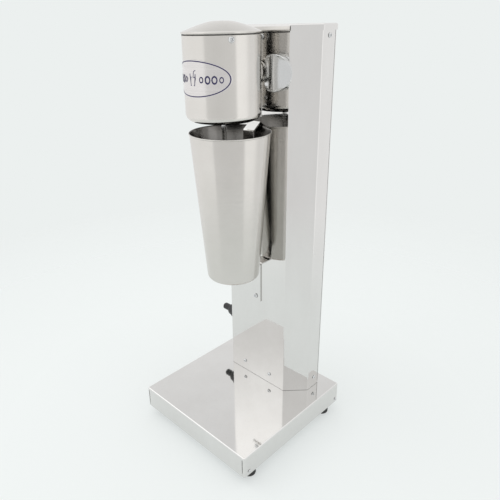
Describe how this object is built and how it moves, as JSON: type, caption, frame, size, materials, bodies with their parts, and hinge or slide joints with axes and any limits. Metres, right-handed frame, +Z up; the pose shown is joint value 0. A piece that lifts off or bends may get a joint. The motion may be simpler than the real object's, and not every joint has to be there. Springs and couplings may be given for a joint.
{
  "type": "milkshake mixer",
  "caption": "Stainless countertop drink mixer: folded base and column, motor head with spindle and wavy agitator, tall tapered mixing cup held by a hook and a rest.",
  "frame": {"origin": "centre of the footprint's bounding box, on the plane the feet stand on", "axes": "+Z up along the column and the spindle, -Y the front where the cup hangs, +X to the right as seen from the front"},
  "size_m": [0.2038, 0.2, 0.5377],
  "materials": {
    "mirror_steel": "mirror-polished folded stainless sheet",
    "satin_steel": "satin-polished spun and folded stainless steel",
    "bright_steel": "ground and polished steel",
    "silver_plastic": "silver-coated moulded knob",
    "zinc": "plated steel",
    "rubber": "black rubber",
    "black_plastic": "black moulded plastic",
    "laminated_steel": "varnished laminations and windings",
    "copper": "copper windings on a steel core",
    "badge": "thin printed aluminium plate"
  },
  "bodies": {
    "stand": {"back_screw_lower_left": "zinc", "back_screw_lower_right": "zinc", "back_screw_upper_left": "zinc", "back_screw_upper_right": "zinc", "badge_plate": "badge", "base_pan": "zinc", "base_tray": "mirror_steel", "brush_left": "black_plastic", "brush_right": "black_plastic", "cable_gland": "black_plastic", "cap_screw_left": "zinc", "cap_screw_right": "zinc", "cap_strap": "zinc", "column_back_cover": "mirror_steel", "column_cap": "mirror_steel", "column_foot_bracket": "zinc", "column_screw_front_left": "zinc", "column_screw_front_right": "zinc", "column_screw_side_left": "zinc", "column_screw_side_right": "zinc", "column_shell": "mirror_steel", "cup_hook": "satin_steel", "cup_rest": "satin_steel", "foot_front_left": "rubber", "foot_front_right": "rubber", "foot_rear_left": "rubber", "foot_rear_right": "rubber", "gland_nut": "zinc", "head_lid": "satin_steel", "head_shell": "satin_steel", "hook_screw_lower": "zinc", "hook_screw_upper": "zinc", "lid_screw_front_left": "zinc", "lid_screw_front_right": "zinc", "lid_screw_rear": "zinc", "lower_bearing": "bright_steel", "motor_plate": "zinc", "motor_stator": "laminated_steel", "motor_top_plate": "zinc", "neck_nut": "zinc", "neck_tube": "satin_steel", "rest_screw_lower": "zinc", "rest_screw_upper": "zinc", "shaft_seal": "black_plastic", "skirt_screw_front_left": "zinc", "skirt_screw_front_right": "zinc", "skirt_screw_rear_left": "zinc", "skirt_screw_rear_right": "zinc", "speed_switch": "black_plastic", "switch_nut": "zinc", "upper_bearing": "bright_steel"},
    "spindle_group": {"motor_rotor": "copper", "cooling_fan": "black_plastic", "spindle": "bright_steel", "agitator_disc": "bright_steel", "agitator_nut": "zinc"},
    "knob": {"speed_knob": "silver_plastic", "switch_shaft": "zinc"},
    "cup_body": {"cup": "satin_steel"}
  },
  "joints": [
    {"name": "spindle_spin", "type": "hinge", "parent": "stand", "child": "spindle_group", "pos_m": [0.00161, -0.023, 0.4], "axis": [0, 0, 1], "continuous": true},
    {"name": "knob_turn", "type": "hinge", "parent": "stand", "child": "knob", "pos_m": [0.03662, 0.02, 0.4825], "axis": [0, -1, 0], "range_deg": [0, 90]},
    {"name": "cup_swing", "type": "hinge", "parent": "stand", "child": "cup_body", "pos_m": [0.00562, 0.0298, 0.4196], "axis": [-1, 0, 0], "range_deg": [0, 7]}
  ]
}
